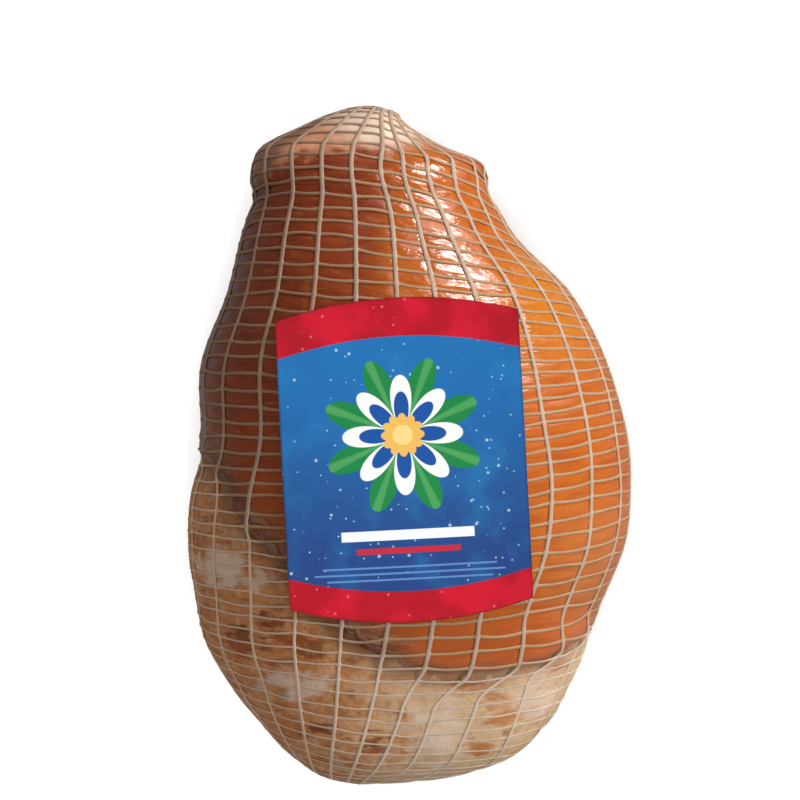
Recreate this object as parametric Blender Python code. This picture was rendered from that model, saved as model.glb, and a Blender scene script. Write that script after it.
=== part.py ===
"""Bone-in smoked ham in its elastic net, with a paper label on its upper side.

The ham lies on its back with the skin side up. +Y runs from the butt to the shank, +X is the ham's right side
seen from above, and the origin is on the floor under the middle of its outline. Metres.

The body is a stack of rounded sections. Its net is a second grid on the same body, whose two poles are the places
where the net is gathered and tied. The strings are ridges of the one solid, and the knots and the label are
pieces of their own.
"""

import math

import bpy
import numpy as np
from mathutils import Vector

MM = 0.001

# The ham: its length, the middle of its outline, and the sections along it
LENGTH = 340 * MM
MIDDLE_X, MIDDLE_Y = -0.3 * MM, -0.1 * MM
AXIS_X_SHANK = -19 * MM
AXIS_X_BUTT = -21 * MM
AXIS_Z_SHANK = 70 * MM
AXIS_Z_MIDDLE = 76 * MM
AXIS_Z_BUTT = 74 * MM
ROUNDNESS_ABOVE = 2.12
ROUNDNESS_BELOW = 2.45
BASE_SINK = 3.0 * MM

# Outline seen from above: station along Y, left edge and right edge, in millimetres
OUTLINE = (
    (167, -35.8, -8.3),
    (160, -52.5, -1.5),
    (149, -74.5, 17),
    (142, -78.2, 34.5),
    (135, -79.5, 38.8),
    (124, -79, 40.8),
    (115, -81, 45.6),
    (107, -83.3, 50),
    (77, -91, 78.5),
    (40, -104.2, 98.5),
    (0, -104.8, 108.5),
    (-26, -111.3, 110),
    (-50, -111.5, 107),
    (-73, -108.5, 97.3),
    (-85, -106.4, 92),
    (-97, -103.3, 91.3),
    (-121, -89, 81),
    (-145, -69.6, 64.6),
    (-160, -53, 44),
)

# Side view: station along Y, height of the crest and of the underside above the floor, in millimetres
PROFILE = (
    (152, 103, 40),
    (138, 118, 27),
    (122, 123, 24),
    (77, 144, 8),
    (30, 157, 0),
    (-20, 162, 0),
    (-60, 158, 0),
    (-97, 148, 3),
    (-130, 132, 16),
    (-155, 115, 35),
)

# The skin ends in a ledge before the butt, which is trimmed to fat and lean
SKIN_LEDGE = 2.6 * MM
LEDGE_WIDTH = 5 * MM
LEDGE_FADE = 45 * MM
SKIN_EDGE_Y = (
    (0, -86),
    (13, -90),
    (26, -95),
    (43, -105),
    (60, -111),
    (75, -111),
    (90, -105),
    (100, -97),
    (109, -85),
    (118, -70),
    (125, -55),
    (134, -40),
    (142, -26),
    (152, -13),
    (166, -5),
    (185, 0),
    (225, 8),
    (270, -6),
    (320, -55),
)

# The fold round the hock, a ring that leans with the skin
HOCK_FOLD_Y = 124 * MM
HOCK_FOLD_LEAN_X = 0.09
HOCK_FOLD_LEAN_Z = 0.36
HOCK_FOLD_DEPTH = 2.6 * MM
HOCK_FOLD_WIDTH = 5.5 * MM

# Between these heights the fold is pressed flatter, down to this share on the side that faces up
HOCK_FOLD_FRONT = (78 * MM, 104 * MM)
HOCK_FOLD_FRONT_SHARE = 0.2

# The net: lengthwise strings and elastic rings, and the two places where it is gathered
STRINGS = 24
RINGS = 61
STRING_TURN = math.radians(3.0)
STRING_SPREAD = 0.08
RING_RISE = 0.75 * MM
STRING_RISE = 0.95 * MM
GATHER_RADIUS = 14 * MM
DIMPLE_DEPTH = 3.5 * MM
DIMPLE_WIDTH = 19 * MM
SHANK_POLE_DOWN = math.radians(14)
SHANK_POLE_RIGHT = math.radians(7)
BUTT_POLE_DOWN = math.radians(15)
BUTT_POLE_LEFT = math.radians(6)
NET_SLIP = 0.35
NET_SLIP_REACH = 20 * MM

# Over the hock the taut strings draw together: how much, where along the ham, and how far left of the crest
STRING_PULL = 0.2
STRING_PULL_Y = 138 * MM
STRING_PULL_WIDTH = 18 * MM
STRING_PULL_SIDE = 0.33

# How the rings lean and bow: station along Y in millimetres, and the amount
RING_LEAN = ((150, -0.08), (90, -0.07), (30, 0.02), (-20, 0.08), (-80, 0.07), (-150, 0.03))
RING_BOW = ((150, 0.0), (90, 0.15), (20, 0.55), (-60, 0.55), (-150, 0.2))

# Each knot: height above its seat and radius, from the seat to the tip of the tuft
KNOT_PROFILE = ((0.0, 7.2), (1.0, 7.8), (2.4, 5.4), (3.4, 3.6), (4.6, 3.6), (5.8, 5.0), (7.2, 5.4), (8.0, 3.6))
KNOT_COLUMNS = 24
KNOT_FLUTE = 0.13
SEAT_GAP = 0.35 * MM

# The label: a paper sheet with arched ends, seen from above
LABEL_WIDTH = 117.2 * MM
LABEL_SIDE = 140 * MM
LABEL_ARCH = 8.5 * MM
LABEL_CENTRE = (-3.0 * MM, -6.6 * MM)
LABEL_TURN = math.radians(3)
LABEL_CLEARANCE = 1.45 * MM
LABEL_THICKNESS = 0.5 * MM
LABEL_COLUMNS, LABEL_ROWS = 14, 14

HALF_LENGTH = LENGTH / 2
STEP = 1e-4


def smooth_curve(knots, values, period=None):
    """A cubic curve through the values, with each knot's slope taken from its two neighbours."""
    order = np.argsort(knots)
    x = np.asarray(knots, float)[order]
    y = np.asarray(values, float)[order]
    if period:
        x = np.concatenate([x - period, x, x + period])
        y = np.tile(y, 3)
    slope = np.gradient(y, x)

    def at(points):
        points = np.asarray(points, float)
        if period:
            points = np.mod(points, period)
        else:
            points = np.clip(points, x[0], x[-1])
        i = np.clip(np.searchsorted(x, points) - 1, 0, len(x) - 2)
        width = x[i + 1] - x[i]
        t = (points - x[i]) / width
        return (
            y[i] * (1 + 2 * t) * (1 - t) ** 2
            + slope[i] * width * t * (1 - t) ** 2
            + y[i + 1] * t * t * (3 - 2 * t)
            + slope[i + 1] * width * t * t * (t - 1)
        )

    return at


def smooth_step(low, high, x):
    t = np.clip((x - low) / (high - low), 0, 1)
    return t * t * (3 - 2 * t)


def angle_of(y):
    """The angle from the shank's tip whose cosine gives the place along the ham."""
    return np.arccos(np.clip(np.asarray(y, float) / HALF_LENGTH, -1, 1))


def axis_x(y):
    share = y / HALF_LENGTH
    return np.where(share > 0, AXIS_X_SHANK, AXIS_X_BUTT) * share**2


def axis_z(y):
    share = y / HALF_LENGTH
    return AXIS_Z_MIDDLE + (np.where(share > 0, AXIS_Z_SHANK, AXIS_Z_BUTT) - AXIS_Z_MIDDLE) * share**2


def reach(stations, axis):
    """How far the section reaches from the axis at each station, freed of the rounding of the ham's ends."""
    y = np.array([s[0] for s in stations]) * MM
    edge = np.array([s[1] for s in stations]) * MM
    angle = angle_of(y)
    return smooth_curve(angle, (edge - axis(y)) / np.sin(angle))


left_reach = reach([(s[0], s[1]) for s in OUTLINE], axis_x)
right_reach = reach([(s[0], s[2]) for s in OUTLINE], axis_x)
crest_reach = reach([(s[0], s[1]) for s in PROFILE], axis_z)
under_reach = reach([(s[0], s[2] - BASE_SINK / MM * (s[2] < 5)) for s in PROFILE], axis_z)
skin_edge = smooth_curve([s[0] for s in SKIN_EDGE_Y], [s[1] * MM for s in SKIN_EDGE_Y], period=360)
ring_lean = smooth_curve([s[0] * MM for s in RING_LEAN], [s[1] for s in RING_LEAN])
ring_bow = smooth_curve([s[0] * MM for s in RING_BOW], [s[1] for s in RING_BOW])


def unit_section(around):
    """A point on the section of unit reach, at the angle around the ham's axis from its right side."""
    c, s = np.cos(around), np.sin(around)
    n = np.where(s > 0, ROUNDNESS_ABOVE, ROUNDNESS_BELOW)
    r = (np.abs(c) ** n + np.abs(s) ** n) ** (-1 / n)
    return r * c, r * s


def body_point(along, around):
    """The smooth body at the angle along it, 0 at the shank's tip, and the angle around it."""
    y = HALF_LENGTH * np.cos(along)
    c, s = unit_section(around)
    end = np.sin(along)
    x = axis_x(y) + end * c * np.where(c > 0, right_reach(along), -left_reach(along))
    z = axis_z(y) + end * s * np.where(s > 0, crest_reach(along), -under_reach(along))
    return np.stack([x, y, z], axis=-1)


def body_normal(along, around):
    da = body_point(along + STEP, around) - body_point(along - STEP, around)
    dr = body_point(along, around + STEP) - body_point(along, around - STEP)
    normal = np.cross(da, dr)
    return -normal / np.linalg.norm(normal, axis=-1, keepdims=True)


def net_to_body(down, turn):
    """Angles along and around the body of a place on the net, given by its angle from the shank's knot and round it.

    The knots lie under the ham's tips, so the grid leans there, and the rings lean and bow with the body's width.
    The strings slip towards the butt's knot where they drop over the edge of the skin, and run straight over the
    hock, where they draw together.
    """
    spread = turn + STRING_SPREAD * np.sin(2 * turn)
    x, y, z = np.sin(down) * np.cos(spread), np.cos(down), np.sin(down) * np.sin(spread)
    fade = y * y
    pitch = fade * np.where(y > 0, SHANK_POLE_DOWN, -BUTT_POLE_DOWN)
    yaw = fade * np.where(y > 0, SHANK_POLE_RIGHT, BUTT_POLE_LEFT)
    y, z = y * np.cos(pitch) + z * np.sin(pitch), z * np.cos(pitch) - y * np.sin(pitch)
    x, y = x * np.cos(yaw) + y * np.sin(yaw), y * np.cos(yaw) - x * np.sin(yaw)
    along = np.arccos(np.clip(y, -1, 1))
    around = np.arctan2(z, x)
    place = body_point(along, around)
    side = place[..., 0]
    swing = ring_lean(place[..., 1]) * side + ring_bow(place[..., 1]) * side**2
    swung = np.clip(y + swing * np.sin(down) ** 2 / HALF_LENGTH, -0.9999, 0.9999)
    below = skin_edge(np.degrees(around)) - HALF_LENGTH * swung
    slip = NET_SLIP * smooth_step(0, NET_SLIP_REACH, below) * np.maximum(np.cos(around), 0)
    pull = STRING_PULL * np.exp(-(((HALF_LENGTH * swung - STRING_PULL_Y) / STRING_PULL_WIDTH) ** 2))
    drawn = pull * (np.cos(around) + STRING_PULL_SIDE) * np.maximum(np.sin(around), 0)
    return np.arccos(swung), around + slip * np.sin(around) + drawn


def form_relief(along, around):
    """How far the ham's own forms stand out of the smooth body: the skin's ledge and the fold round the hock."""
    place = body_point(along, around)
    x, y, z = place[..., 0], place[..., 1], place[..., 2]
    edge = skin_edge(np.degrees(around))
    below = -SKIN_LEDGE * (1 - smooth_step(-LEDGE_WIDTH / 2, LEDGE_WIDTH / 2, y - edge))
    ledge = below * np.exp(np.minimum(y - edge, 0) / LEDGE_FADE)
    fold_y = HOCK_FOLD_Y + HOCK_FOLD_LEAN_X * (x - AXIS_X_SHANK) + HOCK_FOLD_LEAN_Z * (z - AXIS_Z_SHANK)
    front = 1 - (1 - HOCK_FOLD_FRONT_SHARE) * smooth_step(*HOCK_FOLD_FRONT, z)
    fold = -HOCK_FOLD_DEPTH * front * np.exp(-(((y - fold_y) / HOCK_FOLD_WIDTH) ** 2))
    return ledge + fold


def ring_angles():
    """Angles down the net at each ring and halfway between rings, and how far each lies from the nearer knot."""
    fine = np.linspace(0, math.pi, 721)
    paths = [body_point(*net_to_body(fine, np.full_like(fine, turn))) for turn in np.arange(0, 2 * math.pi, 0.7)]
    lengths = [np.concatenate([[0], np.cumsum(np.linalg.norm(np.diff(p, axis=0), axis=1))]) for p in paths]
    mean = np.mean(lengths, axis=0)
    places = np.linspace(GATHER_RADIUS, mean[-1] - GATHER_RADIUS, 2 * RINGS - 1)
    return np.interp(places, mean, fine), np.minimum(places, mean[-1] - places)


def new_object(name, vertices, faces, material):
    mesh = bpy.data.meshes.new(name)
    mesh.from_pydata([tuple(v) for v in vertices], [], faces)
    mesh.validate()
    mesh.materials.append(material)
    mesh.update()
    obj = bpy.data.objects.new(name, mesh)
    bpy.context.scene.collection.objects.link(obj)
    return obj


def new_material(name, colour, roughness, metallic=0.0):
    material = bpy.data.materials.new(name)
    material.use_nodes = True
    shader = material.node_tree.nodes["Principled BSDF"]
    shader.inputs["Base Color"].default_value = (*colour, 1)
    shader.inputs["Roughness"].default_value = roughness
    shader.inputs["Metallic"].default_value = metallic
    material.diffuse_color = (*colour, 1)
    return material


def flat_seat(ring):
    """Moves a ring of points onto its mean plane. Returns the points, their centre and the plane's normal."""
    centre = ring.mean(axis=0)
    spokes = ring - centre
    normal = np.cross(spokes, np.roll(spokes, -1, axis=0)).sum(axis=0)
    normal /= np.linalg.norm(normal)
    return ring - np.outer(spokes @ normal, normal), centre, normal


def netted_ham(material):
    """The ham in its net as one solid: a ridge for each string and ring, and a flat seat under each knot."""
    downs, distance = ring_angles()
    columns = 2 * STRINGS
    turns = STRING_TURN + 2 * math.pi * np.arange(columns) / columns
    down, turn = np.meshgrid(downs, turns, indexing="ij")
    along, around = net_to_body(down, turn)
    on_ring = (np.arange(len(downs)) % 2 == 0)[:, None]
    on_string = (np.arange(columns) % 2 == 0)[None, :]
    rise = np.maximum(on_ring * RING_RISE, on_string * STRING_RISE)
    rise[[0, -1]] = 0
    dimple = DIMPLE_DEPTH * np.exp(-((distance / DIMPLE_WIDTH) ** 2))
    height = form_relief(along, around) + rise - dimple[:, None]
    points = body_point(along, around) + height[..., None] * body_normal(along, around)
    points[..., 2] = np.maximum(points[..., 2], 0)
    points[0], shank_seat, shank_out = flat_seat(points[0])
    points[-1], butt_seat, butt_out = flat_seat(points[-1])
    if shank_out[1] < 0:
        shank_out = -shank_out
    if butt_out[1] > 0:
        butt_out = -butt_out

    vertices = [*points.reshape(-1, 3), shank_seat, butt_seat]
    shank_hub, butt_hub = len(vertices) - 2, len(vertices) - 1
    last = (len(downs) - 1) * columns
    faces = []
    for j in range(columns):
        k = (j + 1) % columns
        faces.append((shank_hub, k, j))
        faces.append((butt_hub, last + j, last + k))
        for i in range(len(downs) - 1):
            a, b = i * columns + j, i * columns + k
            c, d = b + columns, a + columns
            # The split runs from the crossing of two strings to the middle of the mesh opening
            if (i + j) % 2 == 0:
                faces += [(a, b, c), (a, c, d)]
            else:
                faces += [(a, b, d), (b, c, d)]
    obj = new_object("netted_ham", vertices, faces, material)
    return obj, (shank_seat, shank_out), (butt_seat, butt_out)


def net_knot(name, seat, outward, material):
    """A gathered knot of the net: a fluted bundle, tied at its waist, with a short tuft."""
    columns = KNOT_COLUMNS
    vertices = []
    for height, radius in KNOT_PROFILE:
        for j in range(columns):
            flute = 1 + KNOT_FLUTE * (-1) ** j
            turn = 2 * math.pi * j / columns
            across = radius * MM * flute
            vertices.append((across * math.cos(turn), across * math.sin(turn), SEAT_GAP + height * MM))
    rows = len(KNOT_PROFILE)
    bottom, top = len(vertices), len(vertices) + 1
    vertices += [(0, 0, SEAT_GAP), (0, 0, SEAT_GAP + KNOT_PROFILE[-1][0] * MM)]
    faces = []
    for j in range(columns):
        k = (j + 1) % columns
        faces.append((bottom, k, j))
        faces.append((top, (rows - 1) * columns + j, (rows - 1) * columns + k))
        for i in range(rows - 1):
            a, b = i * columns + j, i * columns + k
            faces.append((a, b, b + columns, a + columns))
    obj = new_object(name, vertices, faces, material)
    obj.location = Vector(seat)
    obj.rotation_mode = "QUATERNION"
    obj.rotation_quaternion = Vector(outward).to_track_quat("Z", "Y")
    return obj


def label_outline(s, t):
    """A place on the label seen from above, where s and t run from -1 to 1 across it and up it."""
    u = s * LABEL_WIDTH / 2
    v = t * (LABEL_SIDE / 2 + LABEL_ARCH * (1 - s * s))
    c, d = math.cos(LABEL_TURN), math.sin(LABEL_TURN)
    return LABEL_CENTRE[0] + u * c - v * d, LABEL_CENTRE[1] + u * d + v * c


def above_ham(x, y):
    """Angles along and around the body of the place on its upper side at x and y."""
    along = angle_of(y)
    side = x - axis_x(y)
    c = side / (np.sin(along) * np.where(side > 0, right_reach(along), -left_reach(along)))
    s = (1 - np.abs(c) ** ROUNDNESS_ABOVE) ** (1 / ROUNDNESS_ABOVE)
    return along, np.arctan2(s, c)


def label(material):
    """The paper label, a thin sheet that follows the ham just clear of the net."""
    t, s = np.meshgrid(np.linspace(-1, 1, LABEL_ROWS + 1), np.linspace(-1, 1, LABEL_COLUMNS + 1), indexing="ij")
    along, around = above_ham(*label_outline(s, t))
    base, normal = body_point(along, around), body_normal(along, around)
    inner = (base + LABEL_CLEARANCE * normal).reshape(-1, 3)
    outer = (base + (LABEL_CLEARANCE + LABEL_THICKNESS) * normal).reshape(-1, 3)
    across, count = LABEL_COLUMNS + 1, len(inner)
    faces = []
    for i in range(LABEL_ROWS):
        for j in range(LABEL_COLUMNS):
            a = i * across + j
            b, c, d = a + 1, a + across + 1, a + across
            faces += [(a, c, b), (a, d, c)]
            faces += [(count + a, count + b, count + c), (count + a, count + c, count + d)]
    rim = [j for j in range(across)]
    rim += [i * across + LABEL_COLUMNS for i in range(1, LABEL_ROWS + 1)]
    rim += [LABEL_ROWS * across + j for j in range(LABEL_COLUMNS - 1, -1, -1)]
    rim += [i * across for i in range(LABEL_ROWS - 1, 0, -1)]
    for a, b in zip(rim, rim[1:] + rim[:1]):
        faces.append((a, b, count + b, count + a))
    return new_object("label", [*inner, *outer], faces, material)


def main():
    for obj in list(bpy.data.objects):
        bpy.data.objects.remove(obj)
    skin = new_material("smoked_ham", (0.45, 0.16, 0.05), 0.38)
    string = new_material("net_string", (0.72, 0.60, 0.47), 0.75)
    paper = new_material("printed_label", (0.03, 0.16, 0.42), 0.3)
    _, shank, butt = netted_ham(skin)
    net_knot("net_knot_shank", *shank, string)
    net_knot("net_knot_butt", *butt, string)
    label(paper)
    for obj in bpy.data.objects:
        obj.location -= Vector((MIDDLE_X, MIDDLE_Y, 0))


main()
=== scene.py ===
"""The looks of the netted ham: moist smoked skin, trimmed fat and lean, knitted net, knots and printed label.

The shape is the one of the part's source, on the same named values, in the same frame and in metres.
"""

import math

import bpy
import numpy as np
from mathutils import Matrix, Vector

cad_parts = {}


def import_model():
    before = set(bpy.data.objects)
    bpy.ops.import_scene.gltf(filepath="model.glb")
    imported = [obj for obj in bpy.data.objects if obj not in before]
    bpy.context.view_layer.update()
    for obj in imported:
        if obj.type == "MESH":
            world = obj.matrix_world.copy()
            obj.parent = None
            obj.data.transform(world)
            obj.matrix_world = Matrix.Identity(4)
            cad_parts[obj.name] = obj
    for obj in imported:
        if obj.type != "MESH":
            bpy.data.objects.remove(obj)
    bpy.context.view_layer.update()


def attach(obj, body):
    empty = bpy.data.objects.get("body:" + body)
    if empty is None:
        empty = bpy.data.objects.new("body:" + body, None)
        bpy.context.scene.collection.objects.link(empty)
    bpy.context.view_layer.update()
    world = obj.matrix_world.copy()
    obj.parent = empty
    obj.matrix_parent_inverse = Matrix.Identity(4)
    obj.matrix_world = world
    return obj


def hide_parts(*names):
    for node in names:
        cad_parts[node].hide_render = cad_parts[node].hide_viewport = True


MM = 0.001

# The ham: its length, the middle of its outline, and the sections along it
LENGTH = 340 * MM
MIDDLE_X, MIDDLE_Y = -0.3 * MM, -0.1 * MM
AXIS_X_SHANK = -19 * MM
AXIS_X_BUTT = -21 * MM
AXIS_Z_SHANK = 70 * MM
AXIS_Z_MIDDLE = 76 * MM
AXIS_Z_BUTT = 74 * MM
ROUNDNESS_ABOVE = 2.12
ROUNDNESS_BELOW = 2.45
BASE_SINK = 3.0 * MM

# Outline seen from above: station along Y, left edge and right edge, in millimetres
OUTLINE = (
    (167, -35.8, -8.3), (160, -52.5, -1.5), (149, -74.5, 17), (142, -78.2, 34.5),
    (135, -79.5, 38.8), (124, -79, 40.8), (115, -81, 45.6), (107, -83.3, 50), (77, -91, 78.5),
    (40, -104.2, 98.5), (0, -104.8, 108.5), (-26, -111.3, 110), (-50, -111.5, 107),
    (-73, -108.5, 97.3), (-85, -106.4, 92), (-97, -103.3, 91.3), (-121, -89, 81),
    (-145, -69.6, 64.6), (-160, -53, 44),
)

# Side view: station along Y, height of the crest and of the underside above the floor, in millimetres
PROFILE = (
    (152, 103, 40), (138, 118, 27), (122, 123, 24), (77, 144, 8), (30, 157, 0), (-20, 162, 0),
    (-60, 158, 0), (-97, 148, 3), (-130, 132, 16), (-155, 115, 35),
)

# The skin ends in a ledge before the butt, which is trimmed to fat and lean
SKIN_LEDGE = 2.6 * MM
LEDGE_WIDTH = 3.4 * MM
TAUT_SPAN = 9 * MM
LEDGE_FADE = 45 * MM
LIP_HEIGHT, LIP_ABOVE, LIP_WIDTH = 0.7 * MM, 3.5 * MM, 4 * MM
SKIN_EDGE_Y = (
    (0, -86), (13, -90), (26, -95), (43, -105), (60, -111), (75, -111), (90, -105), (100, -97),
    (109, -85), (118, -70), (125, -55), (134, -40), (142, -26), (152, -13), (166, -5), (185, 0),
    (225, 8), (270, -6), (320, -55),
)

# The fold round the hock, a ring that leans with the skin
HOCK_FOLD_Y = 124 * MM
HOCK_FOLD_LEAN_X = 0.09
HOCK_FOLD_LEAN_Z = 0.36
HOCK_FOLD_DEPTH = 2.6 * MM
HOCK_FOLD_WIDTH = 5.5 * MM
CREASE_DEPTH, CREASE_WIDTH = 1.3 * MM, 1.7 * MM

# Between these heights the fold is pressed flatter, down to this share on the side that faces up
HOCK_FOLD_FRONT = (78 * MM, 104 * MM)
HOCK_FOLD_FRONT_SHARE = 0.2

# Random relief and wandering lines: height and size in millimetres
SKIN_LUMPS, SKIN_DENTS = (0.55, 26), (0.2, 9)
FAT_LUMPS, FAT_DENTS = (0.6, 15), (0.35, 6.5)
EDGE_WANDER, EDGE_TEETH = (2.4, 17), (1.1, 6)
FOLD_WANDER = (1.6, 20)
PAPER_WAVES, PAPER_DENTS = (0.16, 24), (0.07, 8)

# Patches on the butt, seen from above: centre and half sizes in millimetres
LEAN_PATCHES = (
    (-68, -90, 8, 10), (-54, -99, 14, 6), (-83, -95, 7, 10), (-28, -123, 4, 4),
    (-19, -149, 8, 6), (-44, -139, 7, 4),
)
STAIN_PATCHES = (
    (31, -119, 12, 5), (46, -132, 15, 8), (-4, -132, 4, 6), (-6, -150, 6, 8), (32, -150, 8, 5),
    (70, -110, 8, 4), (-62, -140, 9, 6), (-95, -82, 8, 7), (-101, -58, 3, 4), (-70, -60, 6, 4),
)
FILM_PATCHES = (
    (-54, -118, 20, 8), (-94, -60, 14, 9), (15, -143, 14, 20), (62, -124, 12, 14),
    (84, -98, 9, 12), (42, -112, 8, 6), (-78, -66, 8, 6),
)

# The net: lengthwise strings and elastic rings, and the two places where it is gathered
STRINGS = 24
RINGS = 61
STRING_TURN = math.radians(3.0)
STRING_SPREAD = 0.08
GATHER_RADIUS = 14 * MM
DIMPLE_DEPTH = 3.5 * MM
DIMPLE_WIDTH = 19 * MM
SHANK_POLE_DOWN = math.radians(14)
SHANK_POLE_RIGHT = math.radians(7)
BUTT_POLE_DOWN = math.radians(15)
BUTT_POLE_LEFT = math.radians(6)
NET_SLIP = 0.35
NET_SLIP_REACH = 20 * MM

# Over the hock the taut strings draw together: how much, where along the ham, and how far left of the crest
STRING_PULL = 0.2
STRING_PULL_Y = 138 * MM
STRING_PULL_WIDTH = 18 * MM
STRING_PULL_SIDE = 0.33

# How the rings lean and bow: station along Y in millimetres, and the amount
RING_LEAN = ((150, -0.08), (90, -0.07), (30, 0.02), (-20, 0.08), (-80, 0.07), (-150, 0.03))
RING_BOW = ((150, 0.0), (90, 0.15), (20, 0.55), (-60, 0.55), (-150, 0.2))

# Radius on which the streaks' noise is wound round the ham: a fifth of the real one draws them out
ROUND_SCALE = 20 * MM

# How the net is drawn: its grid's steps, the sizes of strings and rings, and how low over the floor they run
ROWS_PER_RING = 6
COLUMNS_PER_STRING = 10
STRING_HALF_WIDTH = 1.15 * MM
STRING_KNOT_WIDTH = 0.4 * MM
STRING_HALF_HEIGHT = 0.55 * MM
STRING_KNOT_HEIGHT = 0.14 * MM
STRING_LIFT = 0.45 * MM
STRING_OVER_FLOOR = 0.8 * MM
STRING_STEPS, STRING_SIDES = 6, 8
RING_HALF_WIDTH = 0.92 * MM
RING_HALF_HEIGHT = 0.42 * MM
RING_LIFT = 0.3 * MM
RING_PITCH = 7.1 * MM
RING_SAG, SAG_SPREAD = 0.35 * MM, 0.4 * MM
RING_OVER_FLOOR = 0.5 * MM
RING_STEPS, RING_SIDES = 8, 6

# How far strings wander sideways, in strings, and how far crossings stray along the ham, in rings
STRING_WANDER = 0.05
CROSSING_STRAY = 0.07

# Each opening of the net: how far its skin swells, and how far it leans each way in millimetres
CELL_SWELL = 0.5 * MM
CELL_LEAN = (0.5, 0.45)

# On the soft butt the net lies deeper and looks thinner
SUNK_STRING, SUNK_RING, SUNK_DEPTH = 0.75, 0.65, 0.22 * MM

# Each knot: height above its seat and radius, from the seat to the tip of the tuft
KNOT_PROFILE = ((0, 7.2), (1, 7.8), (2.4, 5.4), (3.4, 3.6), (4.6, 3.6), (5.8, 5), (7.2, 5.4), (8, 3.6))
SEAT_GAP = 0.35 * MM
KNOT_ROWS, KNOT_COLUMNS = 40, 144
KNOT_STRANDS, KNOT_TWIST = 24, 90
TIE_WRAPS = 3.2
TIE_RADIUS, TIE_HALF_WIDTH = 4.3 * MM, 0.5 * MM
TIE_LEVEL, TIE_RISE = 3.2 * MM, 0.55 * MM

# The label: a paper sheet with arched ends, seen from above
LABEL_WIDTH = 117.2 * MM
LABEL_SIDE = 140 * MM
LABEL_ARCH = 8.5 * MM
LABEL_CENTRE = (-3.0 * MM, -6.6 * MM)
LABEL_TURN = math.radians(3)
LABEL_CLEARANCE = 1.45 * MM
LABEL_PAPER = 0.25 * MM
LABEL_LIFT, LABEL_EDGE_LIFT = 0.22 * MM, 0.35 * MM
LABEL_COLUMNS, LABEL_ROWS = 96, 112

# The label's print, in millimetres: the bands' widths, the flower's middle, and how soft an edge is
TOP_BAND, BOTTOM_BAND = 18.6, 15.0
FLOWER_UP = 12
SOFT_EDGE = 0.3

# Plain bars of the print: middle height, half height and half width in millimetres, and colour
PRINTED_BARS = (
    (-36, 2.4, 32, (214, 216, 220)),
    (-43.5, 1.4, 25, (176, 36, 50)),
    (-51.5, 0.45, 42, (84, 124, 176)),
    (-54.5, 0.45, 46, (84, 124, 176)),
    (-57.5, 0.45, 40, (84, 124, 176)),
)

# The floor's half size, and how deep the floor and the card lie
FLOOR_SIZE = 3.0
FLOOR_DROP, CARD_DROP = 0.2 * MM, 0.5 * MM

# Camera: height, the height at which a width of its view is measured, and where it stands over the ham
CAMERA_HEIGHT, CAMERA_MIDDLE, CAMERA_SEES = 3.0, 0.078, 0.4
CAMERA_X, CAMERA_Y = -0.005, 0.0225
SENSOR = 36

# Lights
KEY_POWER = 8.9
KICKER_POWER = 6.5
SPARKLE_POWER = 58
OVERHEAD_POWER = 52
SWEEP_POWER = 115
WORLD_STRENGTH = 0.37

HALF_LENGTH = LENGTH / 2
MIDDLE = np.array([MIDDLE_X, MIDDLE_Y, 0])
STEP = 1e-4


def smooth_curve(knots, values, period=None):
    """A cubic curve through the values, with each knot's slope taken from its two neighbours."""
    order = np.argsort(knots)
    x = np.asarray(knots, float)[order]
    y = np.asarray(values, float)[order]
    if period:
        x = np.concatenate([x - period, x, x + period])
        y = np.tile(y, 3)
    slope = np.gradient(y, x)

    def at(points):
        points = np.asarray(points, float)
        if period:
            points = np.mod(points, period)
        else:
            points = np.clip(points, x[0], x[-1])
        i = np.clip(np.searchsorted(x, points) - 1, 0, len(x) - 2)
        width = x[i + 1] - x[i]
        t = (points - x[i]) / width
        return (
            y[i] * (1 + 2 * t) * (1 - t) ** 2
            + slope[i] * width * t * (1 - t) ** 2
            + y[i + 1] * t * t * (3 - 2 * t)
            + slope[i + 1] * width * t * t * (t - 1)
        )

    return at


def smooth_step(low, high, x):
    t = np.clip((x - low) / (high - low), 0, 1)
    return t * t * (3 - 2 * t)


def hump(x, width):
    """1 where x is 0, and falling off over the width to either side."""
    return np.exp(-((x / width) ** 2))


def angle_of(y):
    """The angle from the shank's tip whose cosine gives the place along the ham."""
    return np.arccos(np.clip(np.asarray(y, float) / HALF_LENGTH, -1, 1))


def axis_x(y):
    share = y / HALF_LENGTH
    return np.where(share > 0, AXIS_X_SHANK, AXIS_X_BUTT) * share**2


def axis_z(y):
    share = y / HALF_LENGTH
    return AXIS_Z_MIDDLE + (np.where(share > 0, AXIS_Z_SHANK, AXIS_Z_BUTT) - AXIS_Z_MIDDLE) * share**2


def reach(y, edge, axis):
    """How far the section reaches from the axis at each station, freed of the rounding of the ham's ends."""
    angle = angle_of(y)
    return smooth_curve(angle, (edge - axis(y)) / np.sin(angle))


outline_y, left_edge, right_edge = np.array(OUTLINE).T * MM
profile_y, crest, under = np.array(PROFILE).T * MM
left_reach = reach(outline_y, left_edge, axis_x)
right_reach = reach(outline_y, right_edge, axis_x)
crest_reach = reach(profile_y, crest, axis_z)
under_reach = reach(profile_y, under - BASE_SINK * (under < 5 * MM), axis_z)
edge_angle, edge_y = np.array(SKIN_EDGE_Y).T
skin_edge = smooth_curve(edge_angle, edge_y * MM, period=360)
ring_lean, ring_bow = [smooth_curve(y * MM, amount) for y, amount in map(np.transpose, (RING_LEAN, RING_BOW))]


def unit_section(around):
    """A point on the section of unit reach, at the angle around the ham's axis from its right side."""
    c, s = np.cos(around), np.sin(around)
    n = np.where(s > 0, ROUNDNESS_ABOVE, ROUNDNESS_BELOW)
    r = (np.abs(c) ** n + np.abs(s) ** n) ** (-1 / n)
    return r * c, r * s


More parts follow.
